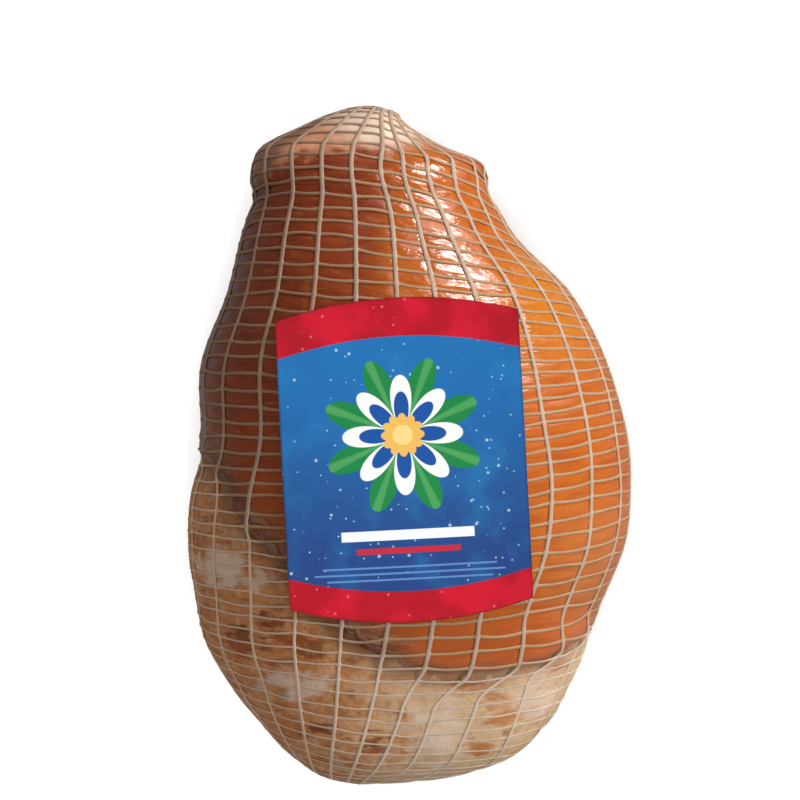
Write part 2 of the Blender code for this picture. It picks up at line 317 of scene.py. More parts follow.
def body_point(along, around):
    """The smooth body at the angle along it, 0 at the shank's tip, and the angle around it."""
    y = HALF_LENGTH * np.cos(along)
    c, s = unit_section(around)
    end = np.sin(along)
    x = axis_x(y) + end * c * np.where(c > 0, right_reach(along), -left_reach(along))
    z = axis_z(y) + end * s * np.where(s > 0, crest_reach(along), -under_reach(along))
    return np.stack([x, y, z], axis=-1)


def body_normal(along, around):
    da = body_point(along + STEP, around) - body_point(along - STEP, around)
    dr = body_point(along, around + STEP) - body_point(along, around - STEP)
    normal = np.cross(da, dr)
    return -normal / np.linalg.norm(normal, axis=-1, keepdims=True)


def net_to_body(down, turn):
    """Angles along and around the body of a place on the net, given by its angle down from the shank's knot.

    The grid leans at the ends, as the knots lie under the ham's tips, and the rings lean and bow. The strings
    slip towards the butt's knot where they drop over the skin's edge, and draw together over the hock.
    """
    spread = turn + STRING_SPREAD * np.sin(2 * turn)
    x, y, z = np.sin(down) * np.cos(spread), np.cos(down), np.sin(down) * np.sin(spread)
    fade = y * y
    pitch = fade * np.where(y > 0, SHANK_POLE_DOWN, -BUTT_POLE_DOWN)
    yaw = fade * np.where(y > 0, SHANK_POLE_RIGHT, BUTT_POLE_LEFT)
    y, z = y * np.cos(pitch) + z * np.sin(pitch), z * np.cos(pitch) - y * np.sin(pitch)
    x, y = x * np.cos(yaw) + y * np.sin(yaw), y * np.cos(yaw) - x * np.sin(yaw)
    along = np.arccos(np.clip(y, -1, 1))
    around = np.arctan2(z, x)
    place = body_point(along, around)
    side = place[..., 0]
    swing = ring_lean(place[..., 1]) * side + ring_bow(place[..., 1]) * side**2
    swung = np.clip(y + swing * np.sin(down) ** 2 / HALF_LENGTH, -0.9999, 0.9999)
    below = skin_edge(np.degrees(around)) - HALF_LENGTH * swung
    slip = NET_SLIP * smooth_step(0, NET_SLIP_REACH, below) * np.maximum(np.cos(around), 0)
    pull = STRING_PULL * hump(HALF_LENGTH * swung - STRING_PULL_Y, STRING_PULL_WIDTH)
    drawn = pull * (np.cos(around) + STRING_PULL_SIDE) * np.maximum(np.sin(around), 0)
    return np.arccos(swung), around + slip * np.sin(around) + drawn


def ring_angles():
    """Angles down the net at each row of its grid, and how far each lies from the nearer knot."""
    fine = np.linspace(0, math.pi, 721)
    turns = np.arange(0, 2 * math.pi, 0.7)
    paths = [body_point(*net_to_body(fine, np.full_like(fine, turn))) for turn in turns]
    steps = np.linalg.norm(np.diff(paths, axis=1), axis=2)
    mean = np.append(0, np.cumsum(steps, axis=1).mean(axis=0))
    places = np.linspace(GATHER_RADIUS, mean[-1] - GATHER_RADIUS, ROWS_PER_RING * (RINGS - 1) + 1)
    return np.interp(places, mean, fine), np.minimum(places, mean[-1] - places)


class Lattice:
    """Smooth random numbers in space, the same for the same seed."""

    SIZE = 32

    def __init__(self, seed):
        self.values = np.random.default_rng(seed).uniform(-1, 1, (self.SIZE,) * 3)

    def at(self, points, cell):
        place = np.asarray(points) / cell
        low = np.floor(place).astype(int)
        t = place - low
        t = t * t * (3 - 2 * t)
        total = np.zeros(place.shape[:-1])
        for corner in np.ndindex(2, 2, 2):
            weight = np.prod(np.where(corner, t, 1 - t), axis=-1)
            i, j, k = np.moveaxis((low + corner) % self.SIZE, -1, 0)
            total += weight * self.values[i, j, k]
        return total


lumps = Lattice(3)
dents = Lattice(8)


def relief(lattice, place, form):
    """Random relief at each place, of the form's height and size."""
    height, size = form
    return height * MM * lattice.at(place, size * MM)


def skin_line(place, around):
    """How far a place lies above the skin's uneven lower edge, along the ham."""
    uneven = relief(lumps, place, EDGE_WANDER) + relief(dents, place, EDGE_TEETH)
    return place[..., 1] - skin_edge(np.degrees(around)) + uneven


def past_fold(place):
    """How far a place lies past the fold towards the shank's tip."""
    x, y, z = place[..., 0], place[..., 1], place[..., 2]
    fold_y = HOCK_FOLD_Y + HOCK_FOLD_LEAN_X * (x - AXIS_X_SHANK) + HOCK_FOLD_LEAN_Z * (z - AXIS_Z_SHANK)
    return y - fold_y


def form_relief(along, around, taut):
    """How far the ham's own forms stand out of the smooth body: ledge, fold, lumps of fat and creases.

    A taut string of the net bridges the small ones.
    """
    place = body_point(along, around)
    above = skin_line(place, around)
    low, high = (-TAUT_SPAN, 0) if taut else (-LEDGE_WIDTH / 2, LEDGE_WIDTH / 2)
    bare = 1 - smooth_step(low, high, above)
    ledge = -SKIN_LEDGE * bare * np.exp(np.minimum(above, 0) / LEDGE_FADE)
    lip = LIP_HEIGHT * hump(above - LIP_ABOVE, LIP_WIDTH)
    from_fold = past_fold(place) + relief(lumps, place, FOLD_WANDER)
    front = 1 - (1 - HOCK_FOLD_FRONT_SHARE) * smooth_step(*HOCK_FOLD_FRONT, place[..., 2])
    fold = -HOCK_FOLD_DEPTH * front * hump(from_fold, HOCK_FOLD_WIDTH)
    skin_lumps = relief(lumps, place, SKIN_LUMPS)
    fat_lumps = relief(lumps, place, FAT_LUMPS)
    base = ledge + lip - 0.25 * MM
    if taut:
        return base + 0.6 * fold + skin_lumps * (1 - bare) + (fat_lumps - SUNK_DEPTH) * bare
    crease = -CREASE_DEPTH * front * hump(from_fold, CREASE_WIDTH)
    skin = skin_lumps + relief(dents, place, SKIN_DENTS)
    fat = fat_lumps + relief(dents, place, FAT_DENTS)
    return base + fold + crease + (skin * (1 - bare) + fat * bare)


def surface(down, turn, distance, taut=False):
    """Points of the ham under the net with their outward normals, in the row's frame."""
    along, around = net_to_body(down, turn)
    normal = body_normal(along, around)
    height = form_relief(along, around, taut) - DIMPLE_DEPTH * hump(distance, DIMPLE_WIDTH)
    points = body_point(along, around) + height[..., None] * normal
    return points - MIDDLE, normal


def resting(points, lowest=0.0):
    """The points with what would lie under the floor pressed flat on it."""
    points = points.copy()
    points[..., 2] = np.maximum(points[..., 2], lowest)
    return points


def new_object(name, vertices, faces, material, smooth=True):
    mesh = bpy.data.meshes.new(name)
    mesh.from_pydata(np.asarray(vertices, float).tolist(), [], faces)
    mesh.materials.append(material)
    mesh.polygons.foreach_set("use_smooth", [smooth] * len(mesh.polygons))
    mesh.update()
    obj = bpy.data.objects.new(name, mesh)
    bpy.context.scene.collection.objects.link(obj)
    return obj


def keep(obj, **looks):
    """Stores one number or one place for each point of the mesh under each name, for the material to read."""
    for name, values in looks.items():
        values = np.asarray(values, np.float32)
        kind, key = ("FLOAT", "value") if values.ndim == 1 else ("FLOAT_VECTOR", "vector")
        obj.data.attributes.new(name, kind, "POINT").data.foreach_set(key, values.reshape(-1))


def grid_faces(rows, columns, closed_rows=False, closed_columns=False):
    """Quads of a grid of points stored row by row, whose rows or columns may close on themselves."""
    i = np.arange(rows if closed_rows else rows - 1)[:, None]
    j = np.arange(columns if closed_columns else columns - 1)[None, :]
    i2, j2 = (i + 1) % rows, (j + 1) % columns
    a, b, c, d = i * columns + j, i * columns + j2, i2 * columns + j2, i2 * columns + j
    return np.stack(np.broadcast_arrays(a, b, c, d), axis=-1).reshape(-1, 4)


def tube_faces(rows, columns):
    """Faces of a grid that is closed round, with a fan at each end to a hub that is stored after the grid."""
    count, last = rows * columns, (rows - 1) * columns
    faces = grid_faces(rows, columns, closed_columns=True).tolist()
    for j in range(columns):
        k = (j + 1) % columns
        faces += [(count, k, j), (count + 1, last + j, last + k)]
    return faces


def net_grid():
    """Angles down and around the net on the fine grid, with the distance from the nearer knot."""
    downs, distance = ring_angles()
    columns = STRINGS * COLUMNS_PER_STRING
    turns = STRING_TURN + 2 * math.pi * np.arange(columns) / columns
    down, turn = np.meshgrid(downs, turns, indexing="ij")
    return down, turn, np.broadcast_to(distance[:, None], down.shape)


def patch_field(place, patches):
    """How deep each place lies in an upper side's patch: 1 at its middle and 0 at its uneven edge."""
    uneven = 0.45 * dents.at(place, 5 * MM) + 0.3 * lumps.at(place, 11 * MM)
    depth = np.full(place.shape[:-1], -1.0)
    for x, y, half_x, half_y in patches:
        away = np.hypot((place[..., 0] / MM - x) / half_x, (place[..., 1] / MM - y) / half_y)
        depth = np.maximum(depth, 1 - away)
    return np.where(place[..., 2] > 45 * MM, np.maximum(depth + uneven, -1), -1)


def cell_swell(rows, columns, on_skin):
    """How far the skin swells out in each opening of the net, at a slope of its own, and less on firm fat."""
    ring_place = np.arange(rows)[:, None] / ROWS_PER_RING % 1
    string_place = np.arange(columns) / COLUMNS_PER_STRING % 1
    across_ring = 4 * ring_place * (1 - ring_place)
    across_string = 4 * string_place * (1 - string_place)
    lean = np.random.default_rng(17).normal(0, 1, (RINGS, STRINGS, 2)) * CELL_LEAN * MM
    i, j = np.arange(rows)[:, None] // ROWS_PER_RING, np.arange(columns) // COLUMNS_PER_STRING
    tilt = lean[i, j, 0] * (ring_place - 0.5) + lean[i, j, 1] * (string_place - 0.5)
    swell = CELL_SWELL * across_ring**0.6 * across_string**0.35 + tilt * (across_ring * across_string) ** 0.5
    return swell * (0.35 + 0.65 * on_skin)


def make_ham(material):
    """The ham itself, which swells a little in each opening of the net."""
    down, turn, distance = net_grid()
    rows, columns = down.shape
    points, normal = surface(down, turn, distance)
    along, around = net_to_body(down, turn)
    place = body_point(along, around)
    on_skin = smooth_step(-3 * MM, 3 * MM, skin_line(place, around))
    points = resting(points + cell_swell(rows, columns, on_skin)[..., None] * normal)
    hubs = [points[0].mean(axis=0), points[-1].mean(axis=0)]
    faces = [face[-1:] + face[:-1] for face in tube_faces(rows, columns)]
    ham = new_object("ham", [*points.reshape(-1, 3), *hubs], faces, material)
    keep_places(ham, turn, around, place)
    return ham


def keep_places(ham, turn, around, place):
    """Stores what the skin's and the fat's looks go by, ending with the two hubs' values."""
    left = np.degrees(np.abs(np.abs(around) - math.pi))
    steps = np.linalg.norm(np.diff(place, axis=0, prepend=place[:1]), axis=-1).mean(axis=1)
    length = np.broadcast_to(np.cumsum(steps)[:, None], turn.shape)
    wound = np.stack([ROUND_SCALE * np.cos(turn), ROUND_SCALE * np.sin(turn), length], axis=-1)
    keep(
        ham,
        above_edge=[*skin_line(place, around).reshape(-1), 0.2, -0.2],
        past_fold=[*past_fold(place).reshape(-1), 0.05, -0.2],
        left_side=[*left.reshape(-1), 90, 90],
        net_place=[*wound.reshape(-1, 3), (0, 0, 0), (0, 0, length.max())],
        lean=[*patch_field(place, LEAN_PATCHES).reshape(-1), -1, -1],
        stain=[*patch_field(place, STAIN_PATCHES).reshape(-1), -1, -1],
        film=[*patch_field(place, FILM_PATCHES).reshape(-1), -1, -1],
    )


def ribbon(points, normal, half_width, half_height, sides, closed):
    """Vertices and faces of a flattened tube along the points. Also gives each vertex's place across it."""
    ahead = np.roll(points, -1, axis=0) - np.roll(points, 1, axis=0)
    if not closed:
        ahead[0], ahead[-1] = points[1] - points[0], points[-1] - points[-2]
    ahead /= np.linalg.norm(ahead, axis=-1, keepdims=True)
    aside = np.cross(normal, ahead)
    aside /= np.linalg.norm(aside, axis=-1, keepdims=True)
    up = np.cross(ahead, aside)
    turn = 2 * math.pi * (np.arange(sides) + 0.5) / sides
    across = np.cos(turn)[None, :, None] * half_width[:, None, None] * aside[:, None, :]
    raised = np.sin(turn)[None, :, None] * half_height[:, None, None] * up[:, None, :]
    vertices = points[:, None, :] + across + raised
    faces = grid_faces(len(points), sides, closed_rows=closed, closed_columns=True).tolist()
    if not closed:
        last = (len(points) - 1) * sides
        faces += [[*range(sides)][::-1], [*range(last, last + sides)]]
    return vertices.reshape(-1, 3), faces, np.broadcast_to(np.cos(turn), (len(points), sides)).reshape(-1)


def joined_ribbons(name, ribbons, material):
    """One object of many ribbons, which keeps the places along and across each, and where it lies on fat."""
    vertices, faces, across, along, fat = [], [], [], [], []
    for points, normal, half_width, half_height, sides, closed, on_fat in ribbons:
        v, f, c = ribbon(points, normal, half_width, half_height, sides, closed)
        start = len(vertices)
        vertices.extend(v)
        faces.extend([[k + start for k in face] for face in f])
        across.extend(c)
        steps = np.linalg.norm(np.diff(points, axis=0, prepend=points[:1]), axis=-1)
        along.extend(np.repeat(np.cumsum(steps), sides))
        fat.extend(np.repeat(on_fat, sides))
    obj = new_object(name, vertices, faces, material)
    keep(obj, across=across, lengthwise=along, on_fat=fat)
    return obj


def string_wander():
    """A slow sideways wander of each string, one row of numbers for each string."""
    count = STRING_STEPS * (RINGS - 1) + 1
    places = np.linspace(0, 1, count)[None, :, None] * np.array([9.0, 0, 0])
    offset = np.arange(STRINGS)[:, None, None] * np.array([0, 3.7, 1.3])
    return STRING_WANDER * Lattice(21).at(places + offset, 1.0)


def crossing_stray():
    """Small random shifts of each crossing along the ham."""
    return np.random.default_rng(11).normal(0, CROSSING_STRAY, (RINGS, STRINGS))


def net_point(rows, columns, lift):
    """Points over the ham at parts of the net's rows and columns, their normals, and if they lie on fat."""
    downs, distance = ring_angles()
    index = np.arange(len(downs)) / ROWS_PER_RING
    down = np.interp(rows, index, downs)
    far = np.interp(rows, index, distance)
    turn = STRING_TURN + 2 * math.pi * columns / STRINGS
    points, normal = surface(down, turn, far, taut=True)
    along, around = net_to_body(down, turn)
    on_fat = 1 - smooth_step(-3 * MM, 3 * MM, skin_line(body_point(along, around), around))
    return points + lift[..., None] * normal, normal, on_fat


def make_strings(material):
    """The lengthwise strings: flat knitted chains, wider at each ring, and drawn in to the knots."""
    wander = string_wander()
    stray = crossing_stray()
    count = wander.shape[1]
    rows = np.linspace(0, RINGS - 1, count)
    at_ring = np.abs(np.cos(math.pi * rows)) ** 10
    width = STRING_HALF_WIDTH + STRING_KNOT_WIDTH * at_ring
    height = STRING_HALF_HEIGHT + STRING_KNOT_HEIGHT * at_ring
    ribbons = []
    for k in range(STRINGS):
        shift = np.interp(rows, np.arange(RINGS), stray[:, k])
        shift[[0, -1]] = 0
        points, normal, on_fat = net_point(rows + shift, k + wander[k], np.full(count, STRING_LIFT))
        points = resting(points, STRING_OVER_FLOOR)
        thin = 1 - (1 - SUNK_STRING) * on_fat
        points, normal, w, h = drawn_in(points, normal, width * thin, height * (1 - 0.4 * on_fat))
        ribbons.append((points, normal, w, h, STRING_SIDES, False, np.pad(on_fat, 3, "edge")))
    return joined_ribbons("net_strings", ribbons, material)


def drawn_in(points, normal, width, height):
    """The string with a few more points at each end, which run in to the knot."""
    shares = np.array([0.3, 0.55, 0.72])
    parts = []
    for end in (0, -1):
        seat, outward = SEATS[end]
        goal = seat + 1.6 * MM * outward
        extra = points[end] + shares[:, None] * (goal - points[end])
        parts.append((extra[::-1] if end == 0 else extra, np.tile(outward, (3, 1))))
    points = np.concatenate([parts[0][0], points, parts[1][0]])
    normal = np.concatenate([parts[0][1], normal, parts[1][1]])
    taper = np.array([0.7, 0.85, 1.0])
    width = np.concatenate([width[0] * taper, width, width[-1] * taper[::-1]])
    height = np.concatenate([height[0] * taper * 1.1, height, height[-1] * taper[::-1] * 1.1])
    return points, normal, width, height


def make_rings(material):
    """The elastic rings across the ham. Each hangs a little between the strings that hold it."""
    count = STRINGS * RING_STEPS
    columns = np.arange(count) / RING_STEPS
    wander = string_wander()[:, ::STRING_STEPS]
    stray = crossing_stray()
    random = np.random.default_rng(5)
    between = columns % 1
    hang = 4 * between * (1 - between)
    width = RING_HALF_WIDTH * (1.15 - 0.25 * hang)
    height = np.full(count, RING_HALF_HEIGHT)
    lift = RING_LIFT + 0.2 * MM * hang
    strings = np.arange(STRINGS + 1)
    ribbons = []
    for i in range(RINGS):
        sag = random.normal(RING_SAG, SAG_SPREAD, STRINGS)
        held = np.append(stray[i], stray[i, 0])
        aside = np.append(wander[:, i], wander[0, i])
        shift = np.interp(columns, strings, held) + hang * np.repeat(sag, RING_STEPS) / RING_PITCH
        if i in (0, RINGS - 1):
            shift[:] = 0
        rows = np.clip(i + shift, 0, RINGS - 1)
        points, normal, on_fat = net_point(rows, columns + np.interp(columns, strings, aside), lift)
        points = resting(points, RING_OVER_FLOOR)
        thin = 1 - (1 - SUNK_RING) * on_fat
        ribbons.append((points, normal, width * thin, height * thin, RING_SIDES, True, on_fat))
    return joined_ribbons("net_rings", ribbons, material)


def seats():
    """Centre and outward normal of the flat seats under the shank's knot and the butt's."""
    downs, distance = ring_angles()
    turns = STRING_TURN + math.pi * np.arange(2 * STRINGS) / STRINGS
    found = {}
    for end, toward in ((0, 1), (-1, -1)):
        along, around = net_to_body(np.full_like(turns, downs[end]), turns)
        base = body_point(along, around)
        ring = base - DIMPLE_DEPTH * hump(distance[end], DIMPLE_WIDTH) * body_normal(along, around) - MIDDLE
        centre = ring.mean(axis=0)
        spokes = ring - centre
        outward = np.cross(spokes, np.roll(spokes, -1, axis=0)).sum(axis=0)
        outward /= np.linalg.norm(outward)
        found[end] = (centre, outward * np.sign(outward[1]) * toward)
    return found


SEATS = seats()


def make_knot(name, end, material):
    """A gathered knot of the net: twisted strands, tied at the waist by a wound string, with a short tuft."""
    heights, radii = np.array(KNOT_PROFILE).T * MM
    level = np.linspace(0, heights[-1], KNOT_ROWS)[:, None]
    turn = 2 * math.pi * np.arange(KNOT_COLUMNS) / KNOT_COLUMNS
    strands = np.cos(KNOT_STRANDS * (turn + KNOT_TWIST * level))
    folds = np.cos(7 * turn + 160 * level)
    across = smooth_curve(heights, radii)(level) * (1 + 0.11 * strands + 0.04 * folds)
    up = np.broadcast_to(SEAT_GAP + level, across.shape)
    points = np.stack([across * np.cos(turn), across * np.sin(turn), up], -1)
    hubs = [(0, 0, SEAT_GAP), (0, 0, SEAT_GAP + heights[-1] + 0.4 * MM)]
    vertices = np.array([*points.reshape(-1, 3), *hubs])
    knot = new_object(name, vertices, tube_faces(KNOT_ROWS, KNOT_COLUMNS), material)
    furrows = np.cos(12 * np.arctan2(vertices[:, 1], vertices[:, 0]))
    keep(knot, across=furrows, lengthwise=vertices[:, 2], on_fat=np.zeros(len(vertices)))

    pieces = knot, knot_tie(name + "_tie", material)
    seat, outward = SEATS[end]
    turned = Vector(outward).to_track_quat("Z", "Y").to_matrix().to_4x4()
    turned.translation = Vector(seat)
    for obj in pieces:
        obj.data.transform(turned)
    return pieces


def knot_tie(name, material):
    """The string that is wound round a knot's waist."""
    t = np.linspace(0, 2 * math.pi * TIE_WRAPS, 150)
    out = np.stack([np.cos(t), np.sin(t), 0 * t], -1)
    coil = TIE_RADIUS * out
    coil[:, 2] = SEAT_GAP + TIE_LEVEL + TIE_RISE * t / (2 * math.pi)
    thick = np.full(len(t), TIE_HALF_WIDTH)
    return joined_ribbons(name, [(coil, out, thick, thick, STRING_SIDES, False, 0 * t)], material)


def label_outline(s, t):
    """A place on the label seen from above, where s and t run from -1 to 1 across it and up it."""
    u = s * LABEL_WIDTH / 2
    v = t * (LABEL_SIDE / 2 + LABEL_ARCH * (1 - s * s))
    c, d = math.cos(LABEL_TURN), math.sin(LABEL_TURN)
    return LABEL_CENTRE[0] + u * c - v * d, LABEL_CENTRE[1] + u * d + v * c


def above_ham(x, y):
    """Angles along and around the body of the place on its upper side at x and y."""
    along = angle_of(y)
    side = x - axis_x(y)
    c = side / (np.sin(along) * np.where(side > 0, right_reach(along), -left_reach(along)))
    s = (1 - np.abs(c) ** ROUNDNESS_ABOVE) ** (1 / ROUNDNESS_ABOVE)
    return along, np.arctan2(s, c)


def sheet_faces(rows, columns):
    """Faces of a thin sheet: a lower and an upper grid of points, closed round the rim."""
    count = rows * columns
    faces = grid_faces(rows, columns)
    rim = list(range(columns))
    rim += [i * columns + columns - 1 for i in range(1, rows)]
    rim += [(rows - 1) * columns + j for j in range(columns - 2, -1, -1)]
    rim += [i * columns for i in range(rows - 2, 0, -1)]
    sides = [(a, b, count + b, count + a) for a, b in zip(rim, rim[1:] + rim[:1])]
    return [*faces[:, ::-1].tolist(), *(faces + count).tolist(), *sides]


def make_label(material):
    """The printed paper label. It bears on the net's strings, and its edges lift a little."""
    up, aside = np.linspace(-1, 1, LABEL_ROWS + 1), np.linspace(-1, 1, LABEL_COLUMNS + 1)
    t, s = np.meshgrid(up, aside, indexing="ij")
    along, around = above_ham(*label_outline(s, t))
    base, normal = body_point(along, around), body_normal(along, around)
    edge = np.maximum(np.abs(s), np.abs(t))
    wave = relief(lumps, base, PAPER_WAVES) + relief(dents, base, PAPER_DENTS)
    lift = LABEL_CLEARANCE + LABEL_LIFT + wave + LABEL_EDGE_LIFT * np.clip(edge - 0.93, 0, 1) / 0.07
    sheets = [base + height[..., None] * normal - MIDDLE for height in (lift, lift + LABEL_PAPER)]
    obj = new_object("label_paper", np.reshape(sheets, (-1, 3)), sheet_faces(*s.shape), material)
    for poly in obj.data.polygons[2 * LABEL_ROWS * LABEL_COLUMNS :]:
        poly.use_smooth = False
    half = (LABEL_SIDE / 2 + LABEL_ARCH * (1 - s * s)) / MM
    places = (s * LABEL_WIDTH / 2 / MM, t * half, (1 - t) * half, (1 + t) * half)
    u, v, below_top, above_bottom = [np.tile(values.reshape(-1), 2) for values in places]
    printed = np.repeat([0.0, 1.0], s.size)
    keep(obj, print_u=u, print_v=v, below_top=below_top, above_bottom=above_bottom, printed=printed)
    return obj


def srgb(red, green, blue):
    """The linear colour of a screen colour given from 0 to 255."""
    shares = [c / 255 for c in (red, green, blue)]
    return tuple(c / 12.92 if c <= 0.04045 else ((c + 0.055) / 1.055) ** 2.4 for c in shares)


def add_node(tree, kind, inputs, **settings):
    """A new node of a material with its settings, and with each of its inputs linked or set."""
    node = tree.nodes.new("ShaderNode" + kind)
    for name, value in settings.items():
        setattr(node, name, value)
    for key, value in inputs.items():
        value = getattr(value, "socket", value)
        if isinstance(value, bpy.types.NodeSocket):
            tree.links.new(value, node.inputs[key])
        else:
            node.inputs[key].default_value = value
    return node


class Signal:
    """A number that varies over a surface, made by a material's nodes and reckoned with like a plain one."""

    def __init__(self, tree, socket):
        self.tree, self.socket = tree, socket

    def op(self, operation, *others):
        node = add_node(self.tree, "Math", dict(enumerate((self, *others))), operation=operation)
        return Signal(self.tree, node.outputs[0])

    def __add__(self, other):
        return self.op("ADD", other)

    def __sub__(self, other):
        return self.op("SUBTRACT", other)

    def __rsub__(self, other):
        return self * -1 + other

    def __mul__(self, other):
        return self.op("MULTIPLY", other)

    def __abs__(self):
        return self.op("ABSOLUTE")

    def clamp(self):
        return self.op("MINIMUM", 1).op("MAXIMUM", 0)

    def step(self, low, high):
        """From 0 at low to 1 at high, smoothly, whichever of the two is the greater."""
        names = ("Value", "From Min", "From Max", "To Min", "To Max")
        ends = (low, high, 0, 1) if low < high else (high, low, 1, 0)
        inputs = dict(zip(names, (self, *ends)))
        node = add_node(self.tree, "MapRange", inputs, interpolation_type="SMOOTHSTEP")
        return Signal(self.tree, node.outputs["Result"])


class Finish:
    """A Principled material in the making. Its colours are screen colours, from 0 to 255."""

    def __init__(self, name, roughness, ior=1.5):
        self.material = bpy.data.materials.new(name)
        self.material.use_nodes = True
        self.tree = self.material.node_tree
        self.shader = self.tree.nodes["Principled BSDF"]
        self.shader.inputs["Roughness"].default_value = roughness
        self.shader.inputs["IOR"].default_value = ior
        self.place = self.made("TexCoord", {}, "Object")

    def made(self, kind, inputs, output=0, **settings):
        return Signal(self.tree, add_node(self.tree, kind, inputs, **settings).outputs[output])

    def attribute(self, name, output="Fac"):
        return self.made("Attribute", {}, output, attribute_name=name)

    def vector(self, x, y, z):
        return self.made("CombineXYZ", {"X": x, "Y": y, "Z": z})

    def axis(self, name):
        return self.made("SeparateXYZ", {0: self.place}, name)

    def noise(self, size, detail=3.0, roughness=0.55, place=None):
        """Noise from 0 to 1 with forms of about the given size in metres."""
        place = place or self.place
        inputs = {"Scale": 1 / size, "Detail": detail, "Roughness": roughness, "Vector": place}
        return self.made("TexNoise", inputs, "Fac")

    def dots(self, size, place):
        """How far the nearest of many scattered dots is, in cells of the given size, and its chance."""
        node = add_node(self.tree, "TexVoronoi", {"Scale": 1 / size, "Vector": place})
        chance = self.made("SeparateColor", {0: node.outputs["Color"]})
        return Signal(self.tree, node.outputs["Distance"]), chance

    def mix(self, share, *colours):
        """The first colour where the share is 0 and the second where it is 1."""
        first, second = [(*srgb(*c), 1) if isinstance(c, tuple) else c for c in colours]
        return self.made("Mix", {0: share, 6: first, 7: second}, 2, data_type="RGBA")

    def layers(self, colour, *rows):
        """The colour with each row's colour laid over it, by the row's share."""
        for share, over in rows:
            colour = self.mix(share, colour, over)
        return colour

    def drive(self, name, signal):
        self.tree.links.new(signal.socket, self.shader.inputs[name])

    def bump(self, height, distance, strength):
        inputs = {"Distance": distance, "Strength": strength, "Height": height}
        self.drive("Normal", self.made("Bump", inputs))


def skin_colours(f, x, y, above, wound):
    """Smoked skin: orange brown, darker where the smoke was thickest and, as painted shade, towards the left,
    and paler past the hock's fold.
    """
    sideways = x - y.step(0.02, 0.09) * 0.014
    # Smoke stain and painted shade: the skin darkens towards the left, the side turned from the key light.
    smoke_and_shade = (sideways + f.noise(0.05) * 0.03).step(0.005, -0.024) * (1 - y.step(0.02, -0.06) * 0.45)
    streak = f.noise(0.004, 4, 0.6, place=wound)
    pale_streak = f.noise(0.0026, 3, 0.6, place=wound).step(0.56, 0.78)
    cloud = f.noise(0.02, 2, 0.5).step(0.5, 0.75)
    # Partly painted shade: the upper left of the skin is made darker still.
    upper_left = x.step(-0.05, -0.09) * y.step(0.02, 0.06)
    upper_right = x.step(0.03, 0.07) * y.step(0.02, 0.08)
    lower_right = x.step(0.05, 0.09) * y.step(-0.01, -0.06)
    past = f.attribute("past_fold") + (f.noise(0.01, 3, 0.6) - 0.5) * 0.03
    hock = past.step(0.003, 0.015) * (1 - x.step(-0.012, 0.008))
    # Partly a dark band of skin, partly painted shade: the side that faces left, away from the key light, is
    # darkened and greyed.
    side = (f.attribute("left_side") - hock * 15).step(34, 17) * y.step(-0.01, 0.06)
    aside, ahead = (x + 0.01) * 0.7, y - 0.172
    from_tip = (aside * aside + ahead * ahead).op("SQRT") + f.noise(0.008) * 0.012
    # Painted shade in the hem's folds: the noise that raises the folds' bump darkens their hollows.
    hem_fold_shade = hem_lines(f, x, above).step(0.42, 0.58)
    return f.layers(
        f.mix(smoke_and_shade, (190, 98, 28), (146, 60, 20)),
        (streak.step(0.42, 0.7) * 0.55, f.mix(smoke_and_shade, (164, 70, 18), (104, 38, 15))),
        (pale_streak * 0.3, (212, 132, 58)),
        (cloud * 0.3, (176, 80, 26)),
        (upper_left * 0.3, (92, 36, 14)),
        (upper_right * 0.65, (206, 128, 20)),
        (lower_right * 0.3, (214, 144, 92)),
        (y.step(-0.06, -0.1) * 0.45, (176, 84, 50)),
        (hock * (0.9 - streak.step(0.45, 0.6) * 0.25), f.mix(smoke_and_shade, (250, 186, 140), (232, 164, 124))),
        (side * 0.68, (85, 53, 41)),
        (from_tip.step(0.035, 0.024) * 0.88, (244, 224, 204)),
        (above.step(0.008, 0.001) * 0.5, (156, 104, 80)),
        (skin_fold(f, x, above), f.mix(hem_fold_shade, (108, 66, 46), (140, 104, 80))),
    )


def skin_fold(f, x, above):
    """The dull wrinkled hem along the skin's edge, on the left."""
    uneven = (f.noise(0.011, 3, 0.6) - 0.5) * 0.014
    return (above + uneven).step(0.02, 0.006) * x.step(0.012, -0.014) * 0.85


def hem_lines(f, x, above):
    """Wavy noise drawn out along the skin's edge."""
    wave = (f.noise(0.009, 2, 0.5) - 0.5) * 0.012
    along_edge = f.vector((above + wave) * 1.8, x * 0.3, f.axis("Y") * 0.3)
    return f.noise(0.0045, 3, 0.6, place=along_edge)


